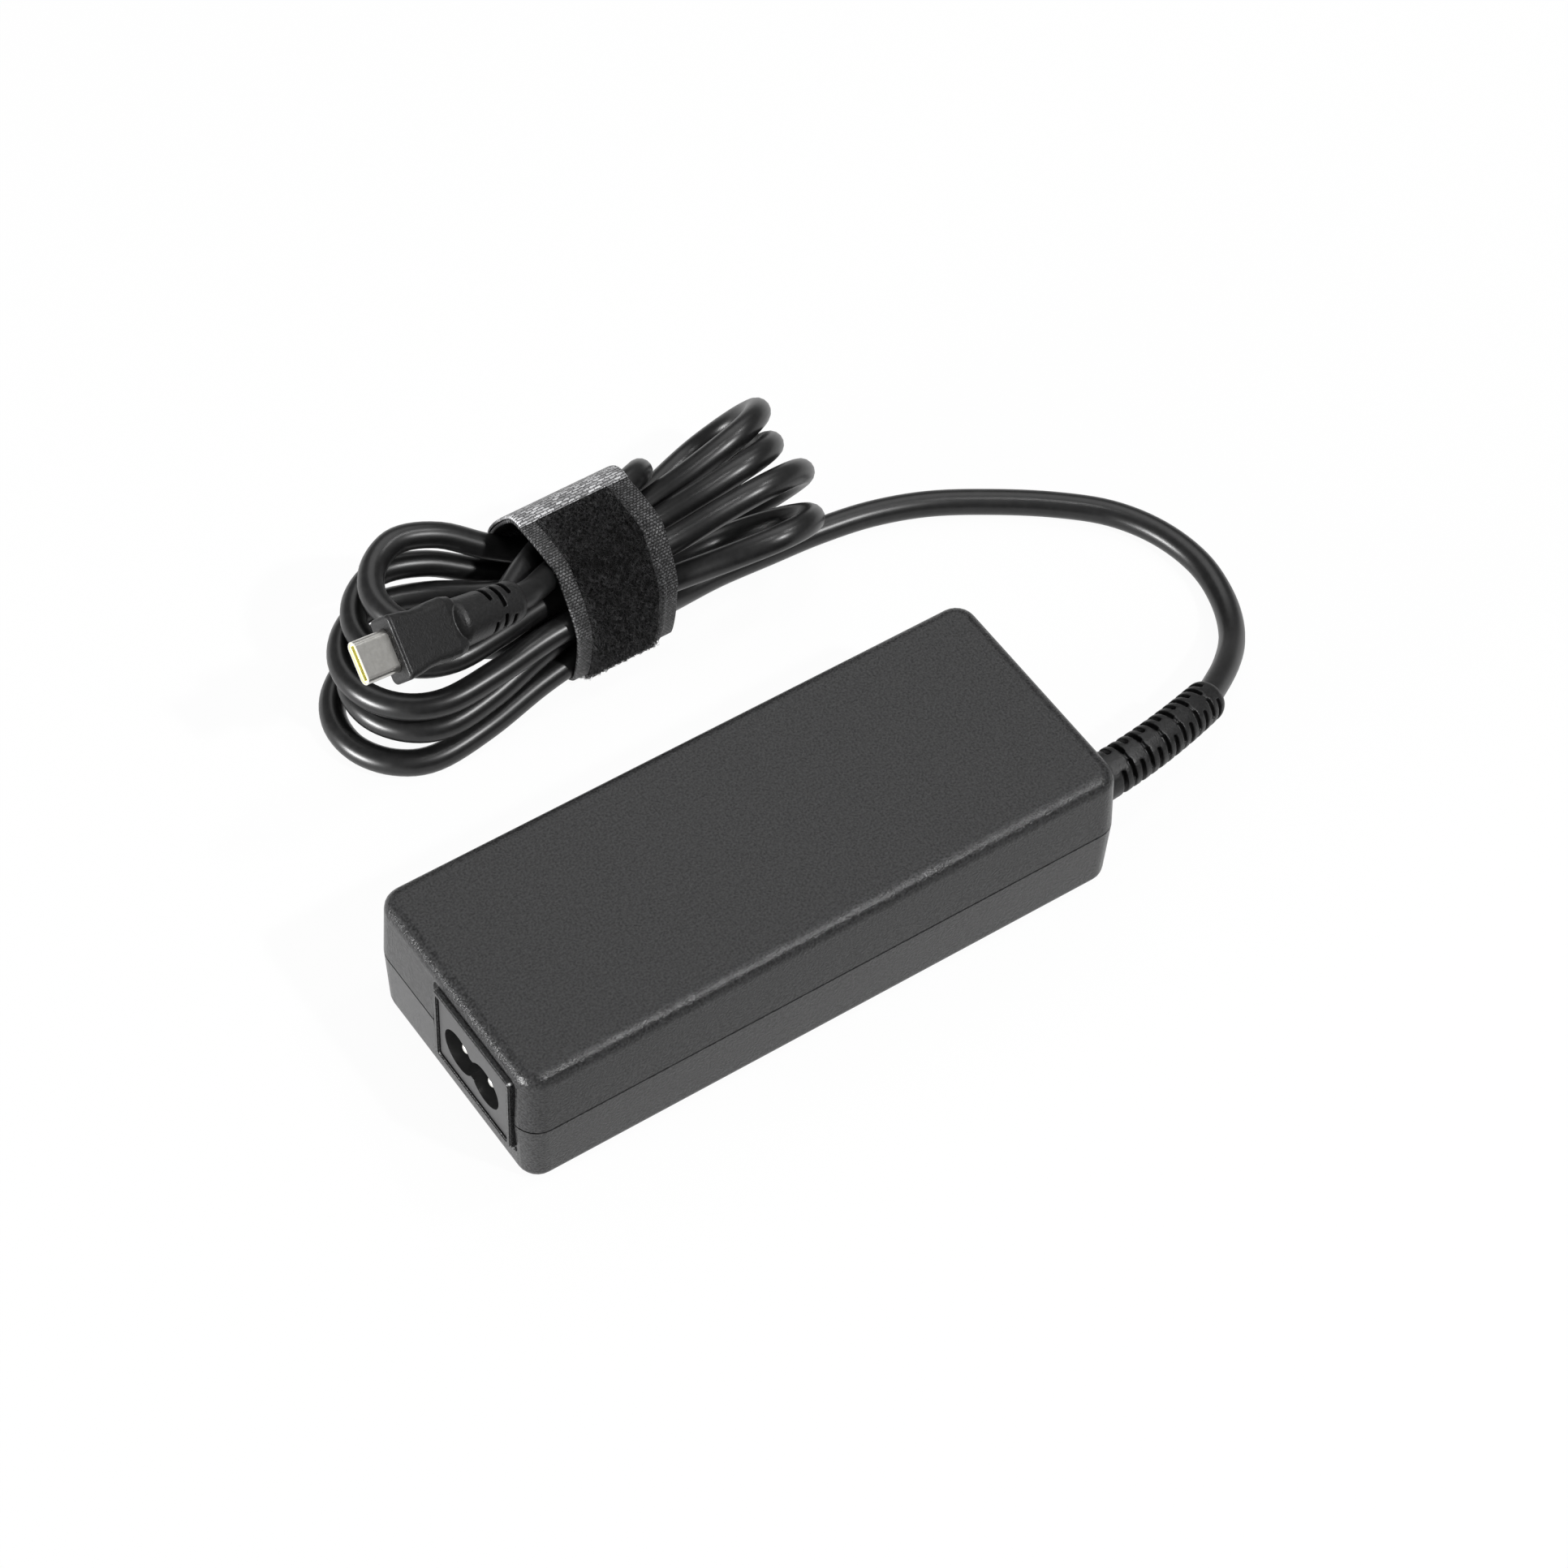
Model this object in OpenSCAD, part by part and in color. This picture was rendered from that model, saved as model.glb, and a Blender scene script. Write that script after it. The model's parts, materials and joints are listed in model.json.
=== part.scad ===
// Laptop power adapter: a two-shell brick with a figure-8 mains inlet, a moulded
// strain relief, and an output cord folded into a tied hank that ends in a USB-C plug.
//
// Millimetres, +Z up. X runs along the brick, from the mains inlet (-X) to the cord
// (+X). Y runs across it, and the hank lies on the +Y side. The origin is the middle
// of the brick's underside.

/* [Brick] */
// Length between the two end walls, at the parting line
brick_l = 129; // [126:0.5:134]
// Width at the parting line
brick_w = 52; // [50:0.5:56]
// Height
brick_h = 30.4; // [29.8:0.1:33]
// Height of the parting line
parting_z = 15.6; // [15:0.1:16.5]
// Wall thickness
wall = 2.2; // [1.8:0.1:2.4]
// Radius of the four upright corners
corner_r = 4.8; // [3.5:0.1:7]
// Fillet round the top face
top_fillet = 2.7; // [1.5:0.1:3.5]
// Fillet round the underside
bottom_fillet = 2.5; // [1.5:0.1:3.5]
// How far the upper shell's walls lean in over their height
upper_draft = 0.6; // [0.2:0.1:1]
// How far the lower shell's walls lean in over their height
lower_draft = 0.8; // [0.2:0.1:1]

/* [Mains inlet] */
// How far the frame round the inlet stands out of the wall
frame_out = 0.5; // [0.3:0.1:1]
// Distance between the two pins
pin_pitch = 8.6; // [8.5:0.1:8.7]
// Pin diameter
pin_d = 2.36; // [2.3:0.02:2.5]
// Diameter of each round half of the socket
lobe_d = 9.2; // [8.8:0.1:9.6]
// Depth of the socket
socket_deep = 13; // [12:0.5:15]

/* [Output cord] */
// Cord diameter
cord_d = 5.2; // [4.8:0.1:5.2]
// Length of the strain relief along its curve
relief_l = 34.4; // [33:0.2:36]

/* [Cord tie] */
// Width of the hook-and-loop strap
tie_w = 24; // [20:1:25]
// Thickness of one layer of the strap
tie_t = 1.4; // [1:0.1:1.5]

/* [View] */
// Piece to draw

/* [Hidden] */

brick_x = frame_out / 2;
inlet_wall_x = brick_x - brick_l / 2;
cord_wall_x = brick_x + brick_l / 2;

// inlet: middle of the socket, and the frame's outline round it
inlet_y = -7.4;
inlet_z = parting_z;
frame_y = -8;
frame_z = 16.7;
frame_w = 25.2;
frame_tall = 19.4;
frame_t = 1.2;
socket_waist = 5.2;
moat_w = 0.9;
moat_deep = 0.9;
plate_gap = 0.15;
front_x = inlet_wall_x - frame_out;
plate_x = front_x + 0.45;
plate_w = frame_w - 2 * frame_t - 2 * plate_gap;
plate_h = frame_tall - 2 * frame_t - 2 * plate_gap;
flange_w = plate_w + 2.4;
flange_h = plate_h + 1.6;
socket_back_x = plate_x + socket_deep;

// joint between the shells
groove_half = 0.2;
groove_deep = 0.45;
lip_t = 0.85;
lip_h = 1.4;
lip_gap = 0.08;

// board
board_z = 5;
board_t = 1.6;
board_top = board_z + board_t;
board_l = 112;
board_w = 42;
board_x = 1;
post_xy = [[-50, 17], [-50, -18.5], [53, 17], [52, -4]];

// strain relief, from the cord end's wall to its own end collar
relief_y = -15;
relief_z = parting_z;
relief_d1 = 9.5;
relief_d2 = 8.2;
relief_side = 6.5;
relief_drop = 3.4;
// windows that let it bend: rings of two long ones, and rings of four between them
window_first = 5.7;
window_pitch = 4.4;
window_w = 1.05;
long_windows = [[41, 168], [221, 348]];
short_windows = [[23, 83], [113, 185], [203, 263], [293, 365]];
neck_d = 7.4;
neck_flange_d = 10.6;
neck_l = 4.1;
socket_floor = 0.8;

// ---------------------------------------------------------------- helpers

function unit(v) = v / norm(v);

function arc_pts(c, r, a0, a1, n) =
  [for (i = [0 : n]) c + r * [cos(a0 + (a1 - a0) * i / n), sin(a0 + (a1 - a0) * i / n)]];

// Outline of a rectangle with round corners, anticlockwise
function ring2(l, w, r, n = 6) = let (x = l / 2 - r, y = w / 2 - r) concat(
  arc_pts([x, y], r, 0, 90, n), arc_pts([-x, y], r, 90, 180, n),
  arc_pts([-x, -y], r, 180, 270, n), arc_pts([x, -y], r, 270, 360, n));

// Closed solid through rings that all have the same number of points, first to last
module skin(rings) {
  m = len(rings[0]);
  n = len(rings);
  pts = [for (g = rings) each g];
  sides = [for (k = [0 : n - 2], i = [0 : m - 1]) each
    let (a = k * m + i, b = k * m + (i + 1) % m, c = b + m, d = a + m) [[a, d, c], [a, c, b]]];
  foot = [for (i = [0 : m - 1]) i];
  head = [for (i = [m - 1 : -1 : 0]) (n - 1) * m + i];
  polyhedron(points = pts, faces = concat([foot], sides, [head]), convexity = 6);
}

// Loft of a housing: rows are [z, inset], the brick's outline drawn in by the inset
module loft(rows) {
  skin([for (q = rows) [for (p = ring2(brick_l - 2 * q[1], brick_w - 2 * q[1],
    max(corner_r - q[1], 1))) [p[0] + brick_x, p[1], q[0]]]]);
}

// Rectangle with true round corners, middle at the origin
module round_rect(l, w, r) {
  square([l - 2 * r, w], center = true);
  square([l, w - 2 * r], center = true);
  for (x = [-1, 1], y = [-1, 1])
    translate([x * (l / 2 - r), y * (w / 2 - r)]) circle(r = r, $fn = 32);
}

// Extrudes a profile drawn in (y, z) along +X from x0
module along_x(x0, l) {
  translate([x0, 0, 0]) rotate([90, 0, 90]) linear_extrude(l) children();
}

module box(lo, hi) {
  translate(lo) cube(hi - lo);
}

module rod(p, axis, d, l, sides = 24) {
  turn = axis == "x" ? [0, 90, 0] : axis == "y" ? [-90, 0, 0] : [0, 0, 0];
  translate(p) rotate(turn) cylinder(d = d, h = l, $fn = sides);
}

// ---------------------------------------------------------------- tubes

// Directions along a curve, and sideways vectors carried along it without twist
function at(p, i) = i < 0 ? 2 * p[0] - p[1]
  : i >= len(p) ? 2 * p[len(p) - 1] - p[len(p) - 2] : p[i];

function tangents(p) = [for (i = [0 : len(p) - 1]) unit(at(p, i + 1) - at(p, i - 1))];

function carried(t, u0) = [for (i = 0, u = unit(u0 - (u0 * t[0]) * t[0]); i < len(t);
  i = i + 1, u = i < len(t) ? unit(u - (u * t[i]) * t[i]) : u) u];

// Round tube: the two ends are square to the given directions, and d is one diameter or one a point
module tube(p, d, sides, first, last) {
  raw = tangents(p);
  n = len(p);
  t = [for (i = [0 : n - 1]) i == 0 ? unit(first) : i == n - 1 ? unit(last) : raw[i]];
  u = carried(t, abs(t[0][2]) > 0.9 ? [0, 1, 0] : [0, 0, 1]);
  skin([for (i = [0 : n - 1]) let (v = cross(t[i], u[i]))
    [for (k = [0 : sides - 1]) let (a = 360 * (k + 0.5) / sides)
      p[i] + (is_list(d) ? d[i] : d) / 2 * (cos(a) * u[i] + sin(a) * v)]]);
}

// ---------------------------------------------------------------- brick

function fillet_rows(r, draft, tall, up) = [for (k = [0 : 5]) let (a = 18 * k)
  [up ? brick_h - r + r * cos(a) : r - r * cos(a),
   draft * (1 - (r - r * cos(a)) / tall) + r - r * sin(a)]];

lower_tall = parting_z;
upper_tall = brick_h - parting_z;

module frame_outline(grow) {
  translate([frame_y, frame_z])
    round_rect(frame_w + 2 * grow, frame_tall + 2 * grow, 0.7 + max(grow, 0) * 0.6);
}

module frame_raised() {
  along_x(front_x + 0.25, frame_out + moat_deep + 0.4) difference() {
    frame_outline(0);
    frame_outline(-frame_t);
  }
  along_x(front_x, 0.26) difference() {
    frame_outline(-0.25);
    frame_outline(-frame_t + 0.25);
  }
}

module wall_cuts() {
  along_x(inlet_wall_x - 2, 2 + moat_deep) difference() {
    frame_outline(moat_w);
    frame_outline(0);
  }
  along_x(inlet_wall_x - 2, 2 + wall + 1) frame_outline(-frame_t);
  along_x(inlet_wall_x + wall, 1.9) translate([frame_y, frame_z])
    square([flange_w + 0.3, flange_h + 0.3], center = true);
  // hole for the cord's neck, with a flat seat on each side of the wall
  rod([cord_wall_x - wall - 1, relief_y, relief_z], "x", neck_d, wall + 3, 48);
  rod([cord_wall_x - wall - 2.4, relief_y, relief_z], "x", neck_flange_d + 0.3, 2.4, 48);
  rod([cord_wall_x - 0.5, relief_y, relief_z], "x", relief_d1 + 0.3, 2, 48);
}

// Upright rails that hold the inlet's flange against the wall, and the cord's saddle
module shell_inner_walls(z0, z1) {
  for (s = [-1, 1])
    box([inlet_wall_x + wall + 1.9, inlet_y + s * 11.2 - 1, z0],
        [inlet_wall_x + wall + 3.3, inlet_y + s * 11.2 + 1, z1]);
  difference() {
    box([cord_wall_x - wall - neck_l, relief_y - 7.4, z0],
        [cord_wall_x - wall - 2.5, relief_y + 7.4, z1]);
    rod([cord_wall_x - wall - 5, relief_y, relief_z], "x", neck_d, 4, 48);
  }
}

module lower_shell() {
  h = lower_tall;
  outer = concat(fillet_rows(bottom_fillet, lower_draft, h, false),
    [[h - groove_half, 0], [h - groove_half, groove_deep], [h, groove_deep]]);
  inner = [[wall, wall + lower_draft + 1.4], [wall + 0.6, wall + lower_draft + 0.4],
    [wall + 1.6, wall + lower_draft * 0.8], [h + 1, wall]];
  color([0.16, 0.16, 0.17]) {
    difference() {
      union() {
        difference() {
          union() {
            difference() {
              loft(outer);
              loft(inner);
            }
            translate([brick_x, 0, h - 2]) linear_extrude(2 + lip_h) difference() {
              lip_out = groove_deep + 0.9;
              round_rect(brick_l - 2 * lip_out, brick_w - 2 * lip_out, corner_r - lip_out);
              round_rect(brick_l - 2 * (lip_out + lip_t), brick_w - 2 * (lip_out + lip_t),
                corner_r - lip_out - lip_t);
            }
          }
          // the lip stops short of the inlet and the cord
          box([inlet_wall_x - 1, frame_y - frame_w / 2 - 1, h], [inlet_wall_x + wall + 2, frame_y + frame_w / 2 + 1, h + 3]);
          box([cord_wall_x - wall - 2, relief_y - 7.5, h], [cord_wall_x + 1, relief_y + 7.5, h + 3]);
        }
        intersection() {
          frame_raised();
          box([front_x - 1, -brick_w / 2, 0], [front_x + 4, brick_w / 2, parting_z]);
        }
        shell_inner_walls(wall - 0.2, parting_z);
        for (p = post_xy) {
          rod([p[0], p[1], wall - 0.2], "z", 5.6, board_z - wall + 0.2);
          rod([p[0], p[1], board_z - 0.2], "z", 2, 1.6);
        }
        // crush ribs under the board's long edges
        for (x = [-30, 0, 30], s = [-1, 1])
          box([x - 0.6, s * 19.5 - 3, wall - 0.2], [x + 0.6, s * 19.5 + 3, board_z]);
      }
      wall_cuts();
    }
  }
}

module upper_shell() {
  h = upper_tall;
  rows = fillet_rows(top_fillet, upper_draft, h, true);
  outer = concat([[parting_z, groove_deep], [parting_z + groove_half, groove_deep],
    [parting_z + groove_half, 0]], [for (k = [5 : -1 : 0]) rows[k]]);
  top_in = brick_h - wall;
  step = groove_deep + 0.9 - lip_gap;
  inner = [[parting_z - 1, step], [parting_z + lip_h + 0.15, step],
    [parting_z + lip_h + 0.15, wall], [top_in - 1.6, wall + upper_draft * 0.8],
    [top_in - 0.6, wall + upper_draft + 0.4], [top_in, wall + upper_draft + 1.4]];
  color([0.14, 0.14, 0.15]) {
    difference() {
      union() {
        difference() {
          loft(outer);
          loft(inner);
        }
        // the wall is full width again beside the inlet and the cord
        box([inlet_wall_x + 1, frame_y - frame_w / 2 - 0.9, parting_z],
            [inlet_wall_x + wall, frame_y + frame_w / 2 + 0.9, frame_z + 4]);
        box([cord_wall_x - wall, relief_y - 7.4, parting_z], [cord_wall_x - 1, relief_y + 7.4, parting_z + 9]);
        intersection() {
          frame_raised();
          box([front_x - 1, -brick_w / 2, parting_z], [front_x + 4, brick_w / 2, brick_h]);
        }
        shell_inner_walls(parting_z, brick_h - wall + 0.2);
        // stiffening ribs across the roof
        for (x = [-38, -12, 14, 40])
          box([x - 0.6, -21, brick_h - wall - 1], [x + 0.6, 21, brick_h - wall + 0.2]);
      }
      wall_cuts();
    }
  }
}

// ---------------------------------------------------------------- mains inlet

// The socket's outline: two round halves joined by a waist
module figure_eight(d, waist) {
  for (s = [-1, 1]) translate([inlet_y + s * pin_pitch / 2, inlet_z]) circle(d = d, $fn = 64);
  translate([inlet_y, inlet_z]) square([pin_pitch, waist], center = true);
}

module ac_inlet() {
  flange_x = inlet_wall_x + wall;
  color([0.2, 0.2, 0.21]) difference() {
    union() {
      along_x(plate_x, flange_x - plate_x + 0.1)
        translate([frame_y, frame_z]) round_rect(plate_w, plate_h, 0.6);
      along_x(flange_x, 1.8) translate([frame_y, frame_z]) round_rect(flange_w, flange_h, 0.6);
      along_x(flange_x + 1.7, socket_back_x + 2.2 - flange_x - 1.7)
        translate([inlet_y, inlet_z]) round_rect(lobe_d + pin_pitch + 2.6, lobe_d + 2.6, 5.4);
      // two ledges that carry the terminals
      for (s = [-1, 1])
        box([socket_back_x + 2, inlet_y + s * pin_pitch / 2 - 2.6, inlet_z - 4.6],
            [socket_back_x + 5, inlet_y + s * pin_pitch / 2 + 2.6, inlet_z - 3.4]);
    }
    along_x(plate_x - 1, socket_deep + 1) figure_eight(lobe_d, socket_waist);
    for (s = [-1, 1])
      rod([plate_x, inlet_y + s * pin_pitch / 2, inlet_z], "x", pin_tail_d, socket_deep + 8, 32);
  }
}

pin_tip_x = front_x + 2;
pin_tail_x = socket_back_x + 5.4;
pin_tail_d = 2;

// Round-nosed pins, stepped down where the block grips them
module inlet_pins() {
  nose = 0.8;
  color([0.85, 0.84, 0.8])
    for (s = [-1, 1]) translate([pin_tip_x, inlet_y + s * pin_pitch / 2, inlet_z])
      rotate([0, 90, 0]) rotate_extrude($fn = 40) polygon(concat([[0, 0]],
        [for (k = [0 : 4]) [pin_d / 2 - nose + nose * sin(22.5 * k), nose - nose * cos(22.5 * k)]],
        [[pin_d / 2, socket_back_x - pin_tip_x], [pin_tail_d / 2, socket_back_x - pin_tip_x],
         [pin_tail_d / 2, pin_tail_x - pin_tip_x], [0, pin_tail_x - pin_tip_x]]));
}

// Bent straps from the pins' tails down to the board
module inlet_leads() {
  color([0.8, 0.62, 0.4])
    for (s = [-1, 1]) translate([0, inlet_y + s * pin_pitch / 2, 0]) {
      box([pin_tail_x, -1.5, inlet_z - 1.6], [pin_tail_x + 0.6, 1.5, inlet_z + 1.6]);
      box([pin_tail_x, -0.8, board_top], [pin_tail_x + 0.6, 0.8, inlet_z - 1.5]);
      box([pin_tail_x, -0.8, board_top], [pin_tail_x + 2.4, 0.8, board_top + 0.6]);
    }
}

// ---------------------------------------------------------------- power electronics

module main_board() {
  notch_x = board_x - board_l / 2;
  color([0.12, 0.3, 0.14]) difference() {
    translate([board_x, 0, board_z]) linear_extrude(board_t) difference() {
      round_rect(board_l, board_w, 1.5);
      for (p = post_xy) translate([p[0] - board_x, p[1]]) circle(d = 2.3, $fn = 24);
      // slots that keep the mains side and the low-voltage side apart
      translate([33, -8]) square([1.2, 16], center = true);
      translate([20, 15.5]) square([9, 1.2], center = true);
    }
    box([notch_x - 1, inlet_y - 6, board_z - 1], [notch_x + 1.5, inlet_y + 6, board_top + 1]);
  }
}

module fuse() {
  color([0.75, 0.7, 0.6]) {
    rod([-49.5, 9, board_top + 2.6], "y", 3.6, 9);
    for (y = [8.4, 16.8]) rod([-49.5, y, board_top + 2.6], "y", 4, 1.8);
    for (y = [9, 18]) rod([-49.5, y, board_top], "z", 0.8, 2.6, 16);
  }
}

module varistor() {
  color([0.15, 0.3, 0.62]) {
    rod([-48, 3.4, board_top + 6.2], "y", 7.6, 3.4, 40);
    for (s = [-1, 1]) rod([-48 + s * 2.4, 5.1, board_top], "z", 0.8, 4, 16);
  }
}

module x_capacitor() {
  color([0.78, 0.62, 0.15]) {
    translate([-34.4, -10.2, board_top + 0.4]) linear_extrude(11.6) round_rect(6.4, 13, 0.8);
    for (s = [-1, 1]) rod([-34.4, -10.2 + s * 5, board_top], "z", 0.8, 0.6, 16);
  }
}

// Ring core with two separate windings, standing on a base
module common_mode_choke() {
  c = [-33.5, 9, board_top + 7];
  color([0.72, 0.42, 0.2]) {
    translate(c) rotate_extrude($fn = 64) translate([5, 0]) square([4, 7], center = true);
    for (a = [-60 : 20 : 60], s = [0, 180])
      translate(c) rotate([0, 0, a + s]) translate([5, 0, 0]) rotate([90, 0, 0])
        difference() {
          cylinder(r = 5.2, h = 0.9, center = true, $fn = 6);
          cylinder(r = 2.6, h = 2, center = true, $fn = 6);
        }
    translate([c[0], c[1], board_top]) linear_extrude(1.7) round_rect(15.4, 13.6, 1);
    translate([c[0], c[1], board_top]) linear_extrude(4.4) square([9.4, 1.2], center = true);
  }
}

module bridge_rectifier() {
  x = -27.4;
  color([0.1, 0.1, 0.11]) {
    along_x(x, 3.5) translate([-9.4, board_top + 7.4]) difference() {
      square([14.8, 10.4], center = true);
      translate([7.4, 5.2]) rotate(45) square(3, center = true);
      translate([0, 1.6]) circle(d = 3.2, $fn = 24);
    }
    for (k = [-1.5 : 1.5])
      box([x + 1.4, -9.4 + k * 3.8 - 0.5, board_top], [x + 2, -9.4 + k * 3.8 + 0.5, board_top + 2.4]);
  }
}

// Electrolytic can lying along the board, crimped near its rubber end
module bulk_capacitor() {
  r = 8;
  l = 31;
  color([0.12, 0.14, 0.3]) {
    translate([-22.6, -12.2, board_top + 8.2]) rotate([0, 90, 0]) rotate_extrude($fn = 64)
      polygon([[0, 0.5], [r - 1.6, 0.5], [r - 1.2, 0], [r - 0.3, 0.3], [r, 1.2], [r, 3],
        [r - 0.8, 3.7], [r, 4.4], [r, l - 0.8], [r - 0.8, l], [r - 2.4, l - 0.4], [0, l - 0.4]]);
    for (x = [-18, 4]) box([x - 1, -12.2 - 3, board_top], [x + 1, -12.2 + 3, board_top + 1]);
  }
}

module heat_sink_plate(x0, x1, y) {
  fin_pitch = 3;
  box([x0, y, board_top], [x1, y + 1.5, board_top + 17]);
  for (x = [x0 : fin_pitch : x1 - 1])
    box([x, y - 1.6, board_top + 12.6], [x + 1, y + 0.1, board_top + 17]);
}

module primary_heat_sink() {
  color([0.7, 0.71, 0.73]) heat_sink_plate(-24, 6, 17.6);
}

module power_package(x, y) {
  box([x - 5, y - 4.4, board_top + 2.6], [x + 5, y, board_top + 11.4]);
  for (k = [-1 : 1]) box([x + k * 2.5 - 0.4, y - 2.8, board_top], [x + k * 2.5 + 0.4, y - 2.2, board_top + 2.8]);
}

module primary_switch() {
  color([0.1, 0.1, 0.11]) power_package(-12, 17.6);
}

// The transformer's middle, its core's middle leg and the wall of the bobbin's tube
xfmr = [22, -5, board_top + 9.4];
leg_w = 6.8;
core_w = 9;
tube_t = 0.4;

// Ferrite: two E halves whose middle legs meet inside the bobbin
module transformer_core() {
  color([0.24, 0.24, 0.26]) translate(xfmr) difference() {
    cube([22, core_w, 17.6], center = true);
    for (s = [-1, 1]) translate([s * 6, 0, 0]) cube([12 - leg_w, core_w + 3, 12], center = true);
  }
}

module transformer_bobbin() {
  color([0.62, 0.56, 0.42]) translate(xfmr) {
    difference() {
      union() {
        for (s = [-1, 1]) translate([0, 0, s * 5.4]) linear_extrude(0.9, center = true) difference() {
          round_rect(17, 23, 2);
          for (k = [-1, 1]) translate([k * 9.1, 0]) square([2.2, core_w + 0.4], center = true);
        }
        cube([leg_w + 2 * tube_t, core_w + 2 * tube_t, 10], center = true);
      }
      cube([leg_w, core_w, 13], center = true);
    }
    for (s = [-1, 1]) translate([0, s * 10.4, -7.625]) cube([15, 2.6, 3.55], center = true);
  }
}

module transformer_winding() {
  color([0.85, 0.68, 0.12]) translate(xfmr) linear_extrude(9.9, center = true) difference() {
    round_rect(15.6, 20.6, 5);
    square([leg_w + 2 * tube_t, core_w + 2 * tube_t], center = true);
  }
}

module y_capacitor() {
  color([0.16, 0.36, 0.66]) {
    rod([20, 11.2, board_top + 5.4], "y", 7, 3, 36);
    for (s = [-1, 1]) rod([20 + s * 3, 12.6, board_top], "z", 0.8, 4.4, 16);
  }
}

module optocoupler() {
  color([0.12, 0.12, 0.13]) {
    box([27, 14, board_top + 0.6], [31.6, 20.4, board_top + 4]);
    for (y = [15.6, 18.2], x = [26.2, 31.6]) box([x, y, board_top], [x + 0.8, y + 0.6, board_top + 2.2]);
  }
}

module secondary_heat_sink() {
  color([0.7, 0.71, 0.73]) heat_sink_plate(37, 50, 17.6);
}

module rectifier_switch() {
  color([0.1, 0.1, 0.11]) power_package(43.5, 17.6);
}

module output_capacitors() {
  color([0.75, 0.76, 0.78])
    for (p = [[38.6, -3], [38.6, 6]]) translate([p[0], p[1], board_top]) {
      translate([0, 0, 0.4]) rotate_extrude($fn = 48) polygon([[0, 0.2], [2.8, 0.2], [3.4, 0],
        [4, 0.8], [4, 1.8], [3.6, 2.3], [4, 2.8], [4, 14.4], [3.5, 15], [0, 15]]);
      for (s = [-1, 1]) translate([0, s * 1.75, 0]) cylinder(d = 0.7, h = 0.7, $fn = 16);
    }
}

module output_choke() {
  c = [50.2, 4.4, board_top + 3.9];
  color([0.7, 0.4, 0.18]) translate(c) {
    rotate_extrude($fn = 48) translate([3.6, 0]) square([2.6, 5], center = true);
    for (a = [30 : 30 : 330]) rotate([0, 0, a]) translate([3.6, 0, 0]) rotate([90, 0, 0]) difference() {
      cylinder(r = 3.9, h = 0.8, center = true, $fn = 6);
      cylinder(r = 1.8, h = 2, center = true, $fn = 6);
    }
    translate([0, 0, -3.9]) linear_extrude(1.5) square([7, 7], center = true);
  }
}

// Small upright board with the output controller and its parts
module control_board() {
  y = -19.4;
  color([0.1, 0.26, 0.13]) {
    box([33, y, board_top], [52, y + 1, board_top + 12]);
    box([38, y + 0.9, board_top + 4], [43, y + 1.9, board_top + 9]);
    for (x = [34.4, 45, 48.4]) box([x, y + 0.9, board_top + 4.6], [x + 2, y + 1.7, board_top + 6]);
  }
}

// Three-sided film between the parts and the metal spreader
module bent_sheet(x0, x1, half, top, low, t) {
  along_x(x0, x1 - x0) difference() {
    translate([-half, low]) square([2 * half, top - low]);
    translate([-half + t, low - 1]) square([2 * half - 2 * t, top - low + 1 - t]);
  }
}

module insulating_sleeve() {
  color([0.88, 0.86, 0.74]) bent_sheet(-40, 52, 21.4, 26, board_z, 0.4);
}

module heat_spreader() {
  color([0.74, 0.75, 0.77]) bent_sheet(-38, 50, 22.2, 26.8, board_z, 0.8);
}

// ---------------------------------------------------------------- strain relief

relief_start = [cord_wall_x, relief_y, relief_z];

function relief_at(f) = relief_start + [relief_l * (f - 0.03 * f * f), relief_side * f * f,
  -relief_drop * f * f * f];
function relief_dir(f) = unit(relief_at(f + 0.01) - relief_at(f - 0.01));
relief_end = relief_at(1);
relief_end_dir = relief_dir(1);

// Points local Z along the given direction
module aim(p, dir) {
  side = atan2(dir[1], dir[0]);
  up = acos(dir[2] / norm(dir));
  translate(p) rotate([0, up, side]) children();
}

module strain_relief() {
  color([0.09, 0.09, 0.1]) {
    difference() {
      union() {
        // the neck through the wall, and the flange that keeps it there
        rod([cord_wall_x - wall - neck_l, relief_y, relief_z], "x", neck_d - 0.1, wall + neck_l + 0.1, 48);
        rod([cord_wall_x - wall - 2.2, relief_y, relief_z], "x", neck_flange_d, 2.2, 48);
        tube([for (k = [0 : 9]) relief_at(0.1 * k), relief_at(0.97), relief_at(0.99), relief_end],
          [for (k = [0 : 9]) relief_d1 + (relief_d2 - relief_d1) * k / 10, relief_d2, relief_d2 - 0.5,
           relief_d2 - 1.5], 40, [1, 0, 0], relief_end_dir);
      }
      for (k = [0 : 6]) windows(window_first + window_pitch * k, long_windows);
      for (k = [0 : 5]) {
        windows(window_first + window_pitch * (k + 0.5), short_windows);
        in_relief(window_first + window_pitch * (k + 0.5)) groove(relief_d2 / 2 - 0.1, 0.6, 0, 360);
      }
      aim(relief_end - socket_floor * relief_end_dir, relief_end_dir)
        cylinder(d = cord_d + 0.8, h = 3, $fn = 36);
    }
  }
}

// Puts a thing that stands on Z on the strain relief's curve, this far from the wall
module in_relief(l) {
  aim(relief_at(l / relief_l), relief_dir(l / relief_l)) children();
}

// Cutter for a slot round Z, from radius r outwards, between two angles
module groove(r, w, from, to) {
  rotate([0, 0, from]) rotate_extrude(angle = to - from, $fn = 36) translate([r, -w / 2]) square([3.5, w]);
}

module windows(l, spans) {
  for (a = spans) in_relief(l) groove(cord_d / 2 + 0.6, window_w, a[0], a[1]);
}

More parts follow.
